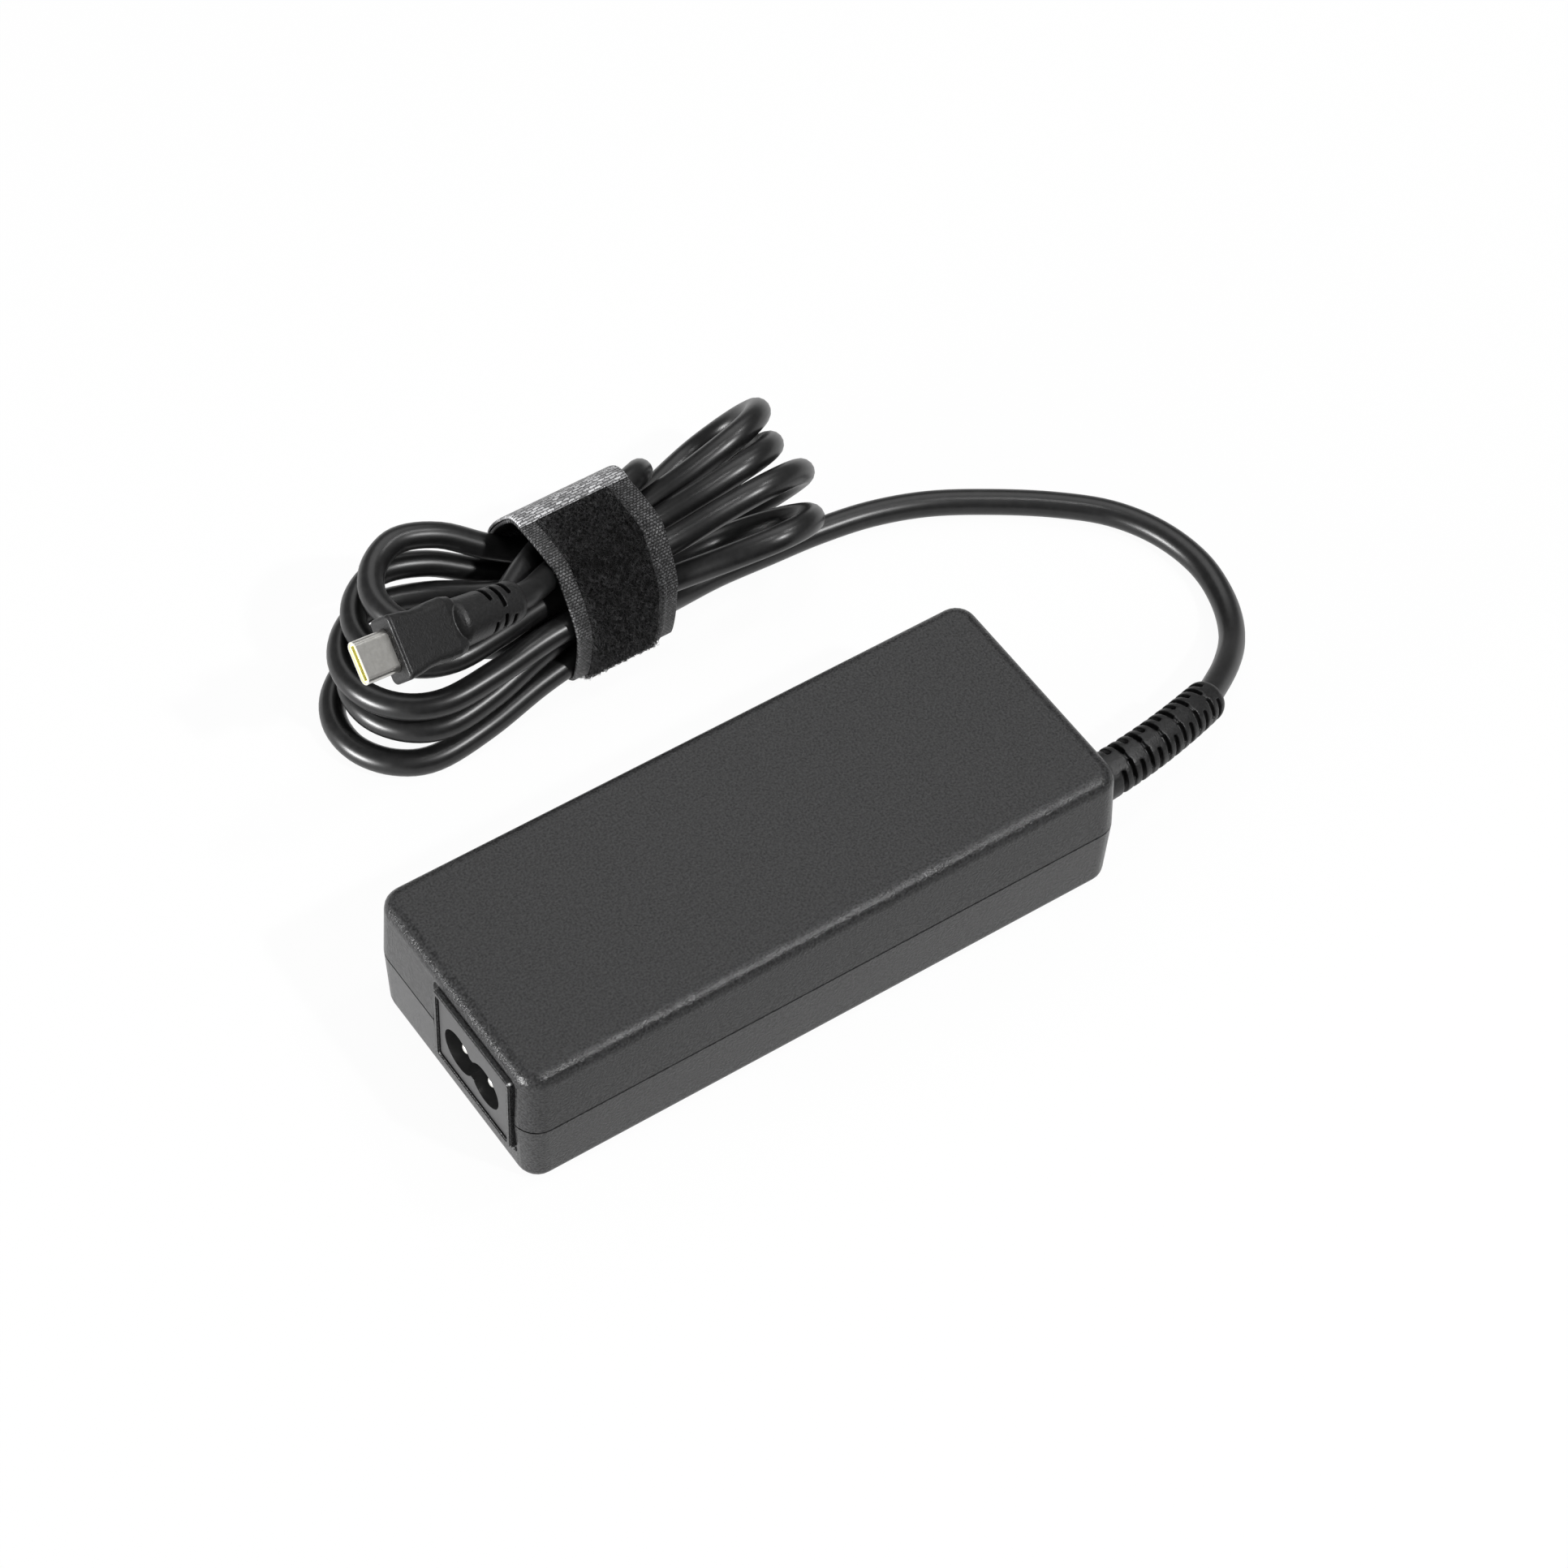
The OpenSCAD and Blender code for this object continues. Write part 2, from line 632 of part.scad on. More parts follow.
// Two insulated wires from the cord's inner end down to the board
module output_wires() {
  x0 = cord_wall_x - wall - neck_l;
  bend = 3.6;
  color([0.7, 0.12, 0.1])
    for (s = [-1, 1]) translate([x0, relief_y + s * 1.2, 0]) {
      rod([-1.2, 0, relief_z], "x", 1.7, 1.2, 20);
      translate([-1.2, 0, relief_z - bend]) rotate([90, 0, 180])
        rotate_extrude(angle = 90, $fn = 32) translate([bend, 0]) circle(d = 1.7, $fn = 20);
      rod([-1.2 - bend, 0, board_top], "z", 1.7, relief_z - bend - board_top, 20);
    }
}

// ---------------------------------------------------------------- plug's place

// Mouth of the plug, and how it lies on the hank; its own X runs from mouth to cord
plug_at = [-43.8, 63.1, 42.8];
plug_turn = [39.4, 15.7, 8];
shell_w = 8.34;
shell_h = 2.56;
shell_t = 0.3;
shell_l = 7.6;
mould_w = 12.7;
mould_h = 6.5;
mould_l = 15.8;
dome_d = 9.6;
barrel_d = 8;
plug_l = 38.4;
mouth_w = 6.7;
mouth_h = 0.9;

plug_dir = [cos(plug_turn[2]) * cos(plug_turn[1]), sin(plug_turn[2]) * cos(plug_turn[1]),
  -sin(plug_turn[1])];
function plug_point(x) = plug_at + x * plug_dir;

// ---------------------------------------------------------------- cord

// Free stretch: out of the strain relief, down to the floor, round and back to the tie
lead_route = [
  [108.2, -1.4, 8.2], [116, 6.3, 4.6], [121, 15.5, 2.9], [122.8, 25.5, 2.7],
  [121, 36, 2.7], [116, 45.4, 2.7], [107.8, 53.4, 2.7], [97.6, 60.8, 2.7],
  [87, 67, 2.7], [76, 70.9, 2.7], [64.5, 72.8, 2.7], [53, 73.6, 2.7],
  [42, 74.2, 2.8], [32, 73.2, 3.8]
];

// Middle of the tie, and the slant of the hank's section inside it
tie_at = [15, 77.5, 16.5];
slant = 32.7;
waist_half = 5;

// The hank's runs at the waist, as [s, t] left and right of the tie's middle:
// s goes away from the brick and up, t goes up and towards the brick
near_runs = [
  [-12.3, -1.9, -11.1, -3.3],
  [-7.2, 1.7, -7.3, 4.5],
  [-6.6, 7.6, -2.3, 9.5],
  [-0.7, 5, 2.1, 5.8],
  [8.7, 3.9, 5.2, 0.8],
  [3.6, 8.9, 8.6, 7.2]
];
far_runs = [
  [-8.9, -7.9, -4.3, -4.7],
  [-0.7, -7.5, -1.7, -10.6],
  [0.4, -0.7, 2.9, -4.7],
  [6.2, -11.1, 4.1, -10.9],
  [9.3, -6.1, 10.2, -7.8]
];

// The folds: [reach from the waist, y, z, tilt, half width], lowest loop first
right_folds = [
  [42.4, 67.1, 17.3, 44.4, 13.7],
  [47.1, 76.8, 16.5, 59.2, 15.6],
  [44.2, 83.6, 21.1, 51.6, 12.3],
  [47, 92.4, 20.9, 51.7, 12.7],
  [18.7, 89.8, 22.3, 61.4, 7.6]
];
left_folds = [
  [54.7, 79, 2.7, 0.1, 14.2],
  [50.6, 79.1, 9, 1.3, 13.2],
  [51.3, 80.7, 14.8, 2.7, 14.4],
  [46.3, 84, 20.2, 1.6, 13.4],
  [42.2, 84, 27.2, 2.5, 13.2]
];

function across(s, t) = [tie_at[1] + cos(slant) * s - sin(slant) * t,
  tie_at[2] + sin(slant) * s + cos(slant) * t];
function ease(t) = 0.75 * t * t * (3 - 2 * t) + 0.25 * t;

// Twelve points out from the waist, round one fold, and back in. A left fold lies level,
// and a right fold leans along a straight line from the waist
function half_turn(side, e, a, b) = let (
    run = e[0] - e[4],
    start = min(waist_half, run * 0.8),
    mid = [e[1], e[2]],
    waist = (a + b) / 2,
    arm = (side < 0 ? e[4] : -e[4]) * [-cos(e[3]), sin(e[3])])
  [for (k = [0 : 11]) let (
      q = k / 11,
      f = min(q, 1 - q) * 4,
      w = ease(min(f, 1)),
      turn = 360 * (q - 0.25),
      u = f < 1 ? start + (run - start) * f : run + e[4] * sin(turn),
      half = f >= 1 ? arm * cos(turn) : (q < 0.5 ? 1 : -1) * ((a - b) / 2 * (1 - w) + arm * w),
      line = side > 0 ? mid + (waist - mid) * (e[0] - u) / (e[0] - start)
        : mid + (waist - mid) * (1 - w),
      yz = line + half)
    [tie_at[0] + side * u, yz[0], yz[1]]];

turns = len(far_runs);

hank_route = concat(
  [[tie_at[0] + waist_half, each across(near_runs[0][2], near_runs[0][3])]],
  [for (i = [0 : turns - 1]) each concat(
    half_turn(-1, left_folds[i], across(near_runs[i][0], near_runs[i][1]),
      across(far_runs[i][0], far_runs[i][1])),
    half_turn(1, right_folds[i], across(far_runs[i][2], far_runs[i][3]),
      across(near_runs[i + 1][2], near_runs[i + 1][3])))],
  [[tie_at[0] - waist_half, each across(near_runs[turns][0], near_runs[turns][1])]]);

function between(p, m) = [for (i = [0 : len(p) - 2], k = [0 : m - 1]) p[i] + (p[i + 1] - p[i]) * k / m];

// Least clear gap between stretches of a tube that are over three diameters apart along it
function least_gap(p, d, skip) = min([for (i = [0 : len(p) - 1 - skip])
  min([for (j = [i + skip : len(p) - 1]) norm(p[i] - p[j])])]) - d;

module cord_lead() {
  route = concat([relief_end - socket_floor * relief_end_dir], lead_route, [hank_route[0]]);
  color([0.08, 0.08, 0.09]) tube(route, cord_d, 10, relief_end_dir, [-1, 0, 0]);
}

module cord_hank() {
  echo(least_gap_in_hank_mm = least_gap(between(hank_route, 4), cord_d, 10));
  color([0.1, 0.1, 0.11]) tube(hank_route, cord_d, 6, [-1, 0, 0], [-1, 0, 0]);
}

// From the hank's last run, out of the tie, and up into the plug
tail_start = hank_route[len(hank_route) - 1];
tail_pull = 20;
tail_route = [for (k = [0 : 6]) let (t = k / 6)
  (2 * t * t * t - 3 * t * t + 1) * tail_start + (3 * t * t - 2 * t * t * t) * plug_point(plug_l)
  + tail_pull * ((t * t * t - 2 * t * t + t) * [-1, 0, 0] - (t * t * t - t * t) * plug_dir)];

module cord_tail() {
  color([0.08, 0.08, 0.09]) tube(tail_route, cord_d, 10, [-1, 0, 0], -plug_dir);
}

// ---------------------------------------------------------------- cord tie

// The runs that the strap holds, seen along X
tie_gap = 0.15;
held = [for (p = concat(between(concat(lead_route, hank_route), 6), between(tail_route, 3)))
  if (abs(p[0] - tie_at[0]) < tie_w / 2 + 1) [p[1], p[2]]];
tie_from = 330;
tie_lap = 75;

// Where a strap pulled tight round the runs lies, on the side that faces the angle a
function tie_pt(a, depth) = let (
    out = [cos(a), sin(a)],
    far = [for (p = held) p * out],
    k = search(max(far), far)[0])
  held[k] + (cord_d / 2 + tie_gap + depth) * out;

// A strap wound once round the hank, whose free end lies on a second layer
module cord_tie() {
  last = tie_from + 360 + tie_lap;
  step = 7.5;
  lift = tie_t + 0.1;
  inside = [for (a = [last : -step : tie_from]) tie_pt(a, a > tie_from + 345 ? lift : 0)];
  outside = [for (a = [tie_from : step : last]) tie_pt(a, tie_t + (a > tie_from + 345 ? lift : 0))];
  color([0.07, 0.07, 0.08])
    along_x(tie_at[0] - tie_w / 2, tie_w) polygon(concat(outside, inside));
}

// ---------------------------------------------------------------- plug

module in_plug() {
  translate(plug_at) rotate(plug_turn) children();
}

module pill(w, h) {
  square([w - h, h], center = true);
  for (s = [-1, 1]) translate([s * (w - h) / 2, 0]) circle(d = h, $fn = 32);
}

// Overmoulding: a waisted grip, and a domed barrel with slots for bending
module plug_body() {
  // distance from the grip's front, width, height, corner radius
  grip = [[0, mould_w - 0.8, mould_h - 0.8, 0.9], [0.4, mould_w, mould_h, 1.1],
    [3, mould_w - 0.5, mould_h, 1.3], [5.5, mould_w - 1.3, mould_h, 1.5],
    [8, mould_w - 1.5, mould_h, 1.6], [10.5, mould_w - 1, mould_h, 1.7],
    [13, mould_w - 0.9, mould_h, 1.8], [14.8, mould_w - 1.6, mould_h - 0.4, 1.9],
    [mould_l, mould_w - 3.4, mould_h - 1.6, 2]];
  dome_x = shell_l + mould_l - 3;
  barrel_l = plug_l - dome_x;
  barrel_slot_x = 30;
  color([0.09, 0.09, 0.1]) in_plug() difference() {
    union() {
      skin([for (g = grip) [for (p = ring2(g[1], g[2], g[3], 4)) [shell_l + g[0], p[0], p[1]]]]);
      translate([dome_x, 0, 0]) rotate([0, 90, 0]) rotate_extrude($fn = 48) polygon(concat([[0, 0]],
        [for (k = [1 : 6]) [dome_d / 2 * sin(15 * k), 3 - 3 * cos(15 * k)]],
        [[barrel_d / 2 + 0.3, barrel_l - 5], [barrel_d / 2 + 0.1, barrel_l - 1.6],
         [barrel_d / 2 - 0.2, barrel_l - 0.6], [barrel_d / 2 - 0.9, barrel_l], [0, barrel_l]]));
    }
    along_x(shell_l - 1, 3) pill(shell_w, shell_h);
    for (k = [0 : 2], a = k == 1 ? [[24, 71], [106, 186], [204, 251], [286, 366]] : [[36, 158], [216, 338]])
      translate([barrel_slot_x + 2.35 * k, 0, 0]) rotate([0, 90, 0])
        groove(cord_d / 2 + 0.5, 0.9, a[0], a[1]);
  }
}

module plug_shell() {
  color([0.78, 0.77, 0.74]) in_plug() along_x(0, shell_l + 2) difference() {
    pill(shell_w, shell_h);
    pill(shell_w - 2 * shell_t, shell_h - 2 * shell_t);
  }
}

module plug_insulator() {
  color([0.72, 0.72, 0.35]) in_plug() difference() {
    along_x(0.15, shell_l + 1.8) pill(shell_w - 2 * shell_t, shell_h - 2 * shell_t);
    along_x(0, 6.4) square([mouth_w, mouth_h], center = true);
  }
}

// Two rows of twelve spring contacts, standing a little proud in the mouth
module plug_contacts() {
  pitch = 0.5;
  color([0.85, 0.68, 0.3]) in_plug()
    for (k = [-5.5 : 5.5], s = [-1, 1])
      translate([1.4, k * pitch - 0.12, s * (mouth_h / 2 - 0.06) - 0.06]) cube([4.6, 0.24, 0.12]);
}

// ---------------------------------------------------------------- drawing

upper_shell();
lower_shell();
ac_inlet();
inlet_pins();
inlet_leads();
main_board();
fuse();
varistor();
x_capacitor();
common_mode_choke();
bridge_rectifier();
bulk_capacitor();
primary_switch();
primary_heat_sink();
transformer_core();
transformer_bobbin();
transformer_winding();
y_capacitor();
optocoupler();
rectifier_switch();
secondary_heat_sink();
output_capacitors();
output_choke();
control_board();
insulating_sleeve();
heat_spreader();
output_wires();
strain_relief();
cord_lead();
cord_hank();
cord_tail();
cord_tie();
plug_body();
plug_shell();
plug_insulator();
plug_contacts();
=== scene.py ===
import json
import math
import random

import bpy
import numpy as np
from mathutils import Matrix, Vector


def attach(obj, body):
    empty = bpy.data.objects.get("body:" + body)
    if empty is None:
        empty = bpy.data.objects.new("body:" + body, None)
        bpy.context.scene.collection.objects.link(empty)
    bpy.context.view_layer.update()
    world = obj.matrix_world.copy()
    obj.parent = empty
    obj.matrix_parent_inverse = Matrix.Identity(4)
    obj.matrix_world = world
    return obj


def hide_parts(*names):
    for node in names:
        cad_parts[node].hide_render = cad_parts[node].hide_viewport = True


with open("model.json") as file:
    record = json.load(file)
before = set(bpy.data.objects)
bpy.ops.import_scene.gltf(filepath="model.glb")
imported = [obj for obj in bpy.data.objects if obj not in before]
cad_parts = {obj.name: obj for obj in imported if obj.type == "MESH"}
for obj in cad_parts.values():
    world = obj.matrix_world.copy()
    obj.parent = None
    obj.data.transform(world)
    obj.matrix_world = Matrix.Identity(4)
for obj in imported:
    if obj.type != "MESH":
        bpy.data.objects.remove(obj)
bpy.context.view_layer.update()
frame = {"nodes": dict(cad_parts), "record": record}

# Forms are worked out in millimetres, and go into the meshes in metres.
MM = 0.001
NODES = frame["nodes"]
TAU = 2 * math.pi


# ---------------------------------------------------------------- camera

CAMERA_AT = (-0.31392, -0.44358, 0.73204)
AZIMUTH, ELEVATION, ROLL = (math.radians(a) for a in (54.159, 51.657, 2.299))
LENS, SENSOR = 113.53, 36


def make_camera():
    forward = Vector((math.cos(ELEVATION) * math.cos(AZIMUTH),
                      math.cos(ELEVATION) * math.sin(AZIMUTH), -math.sin(ELEVATION)))
    level = forward.cross(Vector((0, 0, 1))).normalized()
    rise = level.cross(forward)
    right = level * math.cos(ROLL) + rise * math.sin(ROLL)
    up = rise * math.cos(ROLL) - level * math.sin(ROLL)
    data = bpy.data.cameras.new("view")
    data.sensor_width = SENSOR
    data.lens = LENS
    data.clip_start = 0.05
    data.clip_end = 20
    camera = bpy.data.objects.new("view", data)
    bpy.context.scene.collection.objects.link(camera)
    turn = Matrix((right, up, -forward)).transposed().to_4x4()
    camera.matrix_world = Matrix.Translation(CAMERA_AT) @ turn
    bpy.context.scene.camera = camera


# ---------------------------------------------------------------- the cord's route, as in the solids

CORD_D = 5.2
CORD_STEPS = 6      # points of the drawn line for each point of the route
CORD_ROUNDNESS = 6

# Strain relief: where its curve starts, its length, how far it swings aside and drops, and
# the share of its length that the bend takes off
RELIEF_START = np.array((64.75, -15, 15.6))
RELIEF_L, RELIEF_SIDE, RELIEF_DROP = 34.4, 6.5, 3.4
RELIEF_BEND = 0.03
SOCKET_FLOOR = 0.8                  # how far inside the relief's end the cord starts

# Free stretch, from the strain relief down to the floor, round and back to the tie
LEAD = [
    (108.2, -1.4, 8.2), (116, 6.3, 4.6), (121, 15.5, 2.9), (122.8, 25.5, 2.7),
    (121, 36, 2.7), (116, 45.4, 2.7), (107.8, 53.4, 2.7), (97.6, 60.8, 2.7),
    (87, 67, 2.7), (76, 70.9, 2.7), (64.5, 72.8, 2.7), (53, 73.6, 2.7),
    (42, 74.2, 2.8), (32, 73.2, 3.8)]

# Middle of the tie, the slant of the hank's section in it, and half the hank's straight waist
TIE_AT = np.array((15, 77.5, 16.5))
SLANT = math.radians(32.7)
WAIST_HALF = 5

# The runs through the tie: NEAR ones go left and FAR ones come back right. Each is (s, t)
# left and then right of the tie's middle, where s goes away from the case and up, and t goes
# up and towards the case.
NEAR = [(-12.3, -1.9, -11.1, -3.3), (-7.2, 1.7, -7.3, 4.5), (-6.6, 7.6, -2.3, 9.5),
        (-0.7, 5, 2.1, 5.8), (8.7, 3.9, 5.2, 0.8), (3.6, 8.9, 8.6, 7.2)]
FAR = [(-8.9, -7.9, -4.3, -4.7), (-0.7, -7.5, -1.7, -10.6), (0.4, -0.7, 2.9, -4.7),
       (6.2, -11.1, 4.1, -10.9), (9.3, -6.1, 10.2, -7.8)]

# The folds, in the cord's order: reach from the tie's middle, y, z, tilt in degrees, half width
RIGHT_FOLDS = [(42.4, 67.1, 17.3, 44.4, 13.7), (47.1, 76.8, 16.5, 59.2, 15.6),
               (44.2, 83.6, 21.1, 51.6, 12.3), (47, 92.4, 20.9, 51.7, 12.7),
               (18.7, 89.8, 22.3, 61.4, 7.6)]
LEFT_FOLDS = [(54.7, 79, 2.7, 0.1, 14.2), (50.6, 79.1, 9, 1.3, 13.2),
              (51.3, 80.7, 14.8, 2.7, 14.4), (46.3, 84, 20.2, 1.6, 13.4),
              (42.2, 84, 27.2, 2.5, 13.2)]
FOLD_POINTS = 12
WAIST_SHARE = 0.8                   # the most of a short fold's run that the waist takes

# Mouth of the plug, how it lies on the hank, its length, and the pull of the cord's last stretch
PLUG_AT = np.array((-43.8, 63.1, 42.8))
PLUG_DIP, PLUG_YAW = math.radians(15.7), math.radians(8)
PLUG_L = 38.4
PLUG_DIR = np.array((math.cos(PLUG_YAW) * math.cos(PLUG_DIP),
                     math.sin(PLUG_YAW) * math.cos(PLUG_DIP), -math.sin(PLUG_DIP)))
TAIL_PULL = 20
TAIL_POINTS = 7


def relief_at(f):
    """Point at share f of the strain relief's curve."""
    return RELIEF_START + np.array((RELIEF_L * (f - RELIEF_BEND * f * f), RELIEF_SIDE * f * f,
                                    -RELIEF_DROP * f ** 3))


def unit(v):
    return v / np.linalg.norm(v)


def across(s, t):
    """(y, z) of a run at the waist."""
    return TIE_AT[1:] + np.array((math.cos(SLANT) * s - math.sin(SLANT) * t,
                                  math.sin(SLANT) * s + math.cos(SLANT) * t))


def ease(t):
    """From 0 to 1: three quarters of a smooth step and one of a straight line."""
    return 0.75 * t * t * (3 - 2 * t) + 0.25 * t


def fold_route(side, fold, a, b):
    """Out from the waist at a, round one fold, and back in at b. The left folds (side -1)
    soon lie level, and the right ones (side 1) rise or drop evenly all the way out."""
    reach, y, z, tilt, half = fold
    run = reach - half
    start = min(WAIST_HALF, run * WAIST_SHARE)
    mid = np.array((y, z))
    waist = (a + b) / 2
    tilt = math.radians(tilt)
    arm = (half if side < 0 else -half) * np.array((-math.cos(tilt), math.sin(tilt)))
    points = []
    for k in range(FOLD_POINTS):
        q = k / (FOLD_POINTS - 1)
        f = min(q, 1 - q) * 4
        w = ease(min(f, 1))
        turn = TAU * (q - 0.25)
        u = start + (run - start) * f if f < 1 else run + half * math.sin(turn)
        if f >= 1:
            swing = arm * math.cos(turn)
        else:
            swing = (1 if q < 0.5 else -1) * ((a - b) / 2 * (1 - w) + arm * w)
        lean = (reach - u) / (reach - start) if side > 0 else 1 - w
        yz = mid + (waist - mid) * lean + swing
        points.append((TIE_AT[0] + side * u, yz[0], yz[1]))
    return points


def hank_route():
    """Eleven runs through the tie, joined by ten folds, left and right in turn."""
    route = [(TIE_AT[0] + WAIST_HALF, *across(*NEAR[0][2:]))]
    for i in range(len(FAR)):
        route += fold_route(-1, LEFT_FOLDS[i], across(*NEAR[i][:2]), across(*FAR[i][:2]))
        route += fold_route(1, RIGHT_FOLDS[i], across(*FAR[i][2:]), across(*NEAR[i + 1][2:]))
    route.append((TIE_AT[0] - WAIST_HALF, *across(*NEAR[-1][:2])))
    return [np.array(p) for p in route]


def tail_route(start):
    """From the hank's last run, out of the tie and up into the plug."""
    end = PLUG_AT + PLUG_L * PLUG_DIR
    out_of_tie = np.array((-1, 0, 0))
    points = []
    for k in range(TAIL_POINTS):
        t = k / (TAIL_POINTS - 1)
        points.append((2 * t ** 3 - 3 * t * t + 1) * start + (3 * t * t - 2 * t ** 3) * end
                      + TAIL_PULL * ((t ** 3 - 2 * t * t + t) * out_of_tie
                                     - (t ** 3 - t * t) * PLUG_DIR))
    return points


def smooth_path(points, steps):
    """Catmull-Rom curve through the points."""
    p = [2 * points[0] - points[1], *points, 2 * points[-1] - points[-2]]
    out = []
    for i in range(1, len(p) - 2):
        a, b, c, d = p[i - 1:i + 3]
        for k in range(steps):
            t = k / steps
            out.append(0.5 * (2 * b + (c - a) * t + (2 * a - 5 * b + 4 * c - d) * t * t
                              + (3 * b - a - 3 * c + d) * t ** 3))
    out.append(p[-2])
    return out


relief_end = relief_at(1)
relief_end_dir = unit(relief_at(1.01) - relief_at(0.99))
lead = [np.array(p, float) for p in LEAD]
hank = hank_route()
tail = tail_route(hank[-1])
cord_points = [relief_end - SOCKET_FLOOR * relief_end_dir, *lead, *hank, *tail[1:]]


def make_cord():
    line = smooth_path(cord_points, CORD_STEPS)
    data = bpy.data.curves.new("output_cord", "CURVE")
    data.dimensions = "3D"
    # The points carry the radius, so that the curve's own box has the cord's size.
    data.bevel_depth = 1
    data.bevel_resolution = CORD_ROUNDNESS
    data.use_fill_caps = True
    spline = data.splines.new("POLY")
    spline.points.add(len(line) - 1)
    for point, p in zip(spline.points, line):
        point.co = (*(p * MM), 1)
        point.radius = CORD_D / 2 * MM
    spline.use_smooth = True
    cord = bpy.data.objects.new("output_cord", data)
    bpy.context.scene.collection.objects.link(cord)
    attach(cord, "root")
    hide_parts("cord_lead", "cord_hank", "cord_tail")
    return cord, line


# ---------------------------------------------------------------- tools for the materials

def grey(v):
    """A touch cooler than neutral grey."""
    return (v, v, v * 1.02)


def new_material(name, colour, roughness, **sockets):
    mat = bpy.data.materials.new(name)
    mat.use_nodes = True
    shader = mat.node_tree.nodes["Principled BSDF"]
    shader.inputs["Base Color"].default_value = (*colour, 1)
    shader.inputs["Roughness"].default_value = roughness
    for socket, value in sockets.items():
        shader.inputs[socket.replace("_", " ")].default_value = value
    return mat


def add_node(mat, kind, **settings):
    node = mat.node_tree.nodes.new("ShaderNode" + kind)
    for key, value in settings.items():
        if key in node.inputs:
            node.inputs[key].default_value = value
        else:
            setattr(node, key, value)
    return node


def link(mat, a, out, b, into):
    mat.node_tree.links.new(a.outputs[out], b.inputs[into])


def grain(mat, scale, detail, strength, depth):
    """Fine bump, depth metres deep, from noise on Object coordinates."""
    coords = add_node(mat, "TexCoord")
    noise = add_node(mat, "TexNoise", Scale=scale, Detail=detail, Roughness=0.6)
    bump = add_node(mat, "Bump", Strength=strength, Distance=depth)
    link(mat, coords, "Object", noise, "Vector")
    link(mat, noise, "Fac", bump, "Height")
    link(mat, bump, "Normal", mat.node_tree.nodes["Principled BSDF"], "Normal")


def patches(mat, dark, light, scale):
    """Small soft patches between two colours, from noise on Object coordinates."""
    coords = add_node(mat, "TexCoord")
    noise = add_node(mat, "TexNoise", Scale=scale, Detail=3.0)
    ramp = add_node(mat, "ValToRGB")
    for stop, position, colour in zip(ramp.color_ramp.elements, (0.35, 0.65), (dark, light)):
        stop.position = position
        stop.color = (*colour, 1)
    link(mat, coords, "Object", noise, "Vector")
    link(mat, noise, "Fac", ramp, "Fac")
    link(mat, ramp, "Color", mat.node_tree.nodes["Principled BSDF"], "Base Color")


# ---------------------------------------------------------------- finishes that show

def spark_textured_plastic():
    """The case: black, with a fine sparkling grain."""
    mat = new_material("spark_textured_plastic", grey(0.016), 0.25, Specular_IOR_Level=0.22)
    patches(mat, grey(0.009), grey(0.027), 2300)
    grain(mat, 2300, 2.5, 1.0, 0.00013)
    return mat


def inlet_plastic():
    """The inlet's plate and socket: smoother than the case."""
    mat = new_material("inlet_plastic", grey(0.008), 0.4, Specular_IOR_Level=0.5)
    patches(mat, grey(0.018), grey(0.023), 900)
    grain(mat, 3500, 2, 0.2, 0.00003)
    return mat


def cord_pvc():
    mat = new_material("cord_pvc", grey(0.006), 0.34, Specular_IOR_Level=0.4)
    patches(mat, grey(0.005), grey(0.008), 700)
    grain(mat, 900, 3, 0.1, 0.00004)
    return mat


def moulded_rubber():
    """The strain relief and the plug's grip."""
    mat = new_material("moulded_rubber", grey(0.007), 0.4, Specular_IOR_Level=0.3)
    patches(mat, grey(0.005), grey(0.01), 1500)
    grain(mat, 2600, 2.5, 0.8, 0.00008)
    return mat


def plug_steel():
    mat = new_material("plug_steel", (0.62, 0.61, 0.58), 0.3, Metallic=1.0)
    patches(mat, (0.58, 0.57, 0.54), (0.66, 0.65, 0.62), 1200)
    grain(mat, 4000, 2, 0.08, 0.00002)
    return mat


def pin_plating():
    mat = new_material("plated_pin", (0.85, 0.84, 0.82), 0.36, Metallic=1.0)
    patches(mat, (0.76, 0.75, 0.72), (0.84, 0.83, 0.8), 900)
    return mat


def tie_pile():
    """The bed that the tie's fibres stand on."""
    mat = new_material("tie_pile", grey(0.004), 0.95, Specular_IOR_Level=0.1)
    patches(mat, grey(0.002), grey(0.01), 1800)
    grain(mat, 1700, 4, 1.0, 0.0005)
    return mat


def tie_fibre():
    mat = new_material("tie_fibre", grey(0.01), 0.45, Specular_IOR_Level=0.2)
    patches(mat, grey(0.002), grey(0.045), 1100)
    return mat


# Cloth: the darkest threads' share of the colour, the gap between threads and how far they
# wander, both in centimetres, as the UV map is
THREAD_DARKEST = 0.35
THREAD_GAP = 0.016
THREAD_WANDER = (0.07, 0.05, 0)


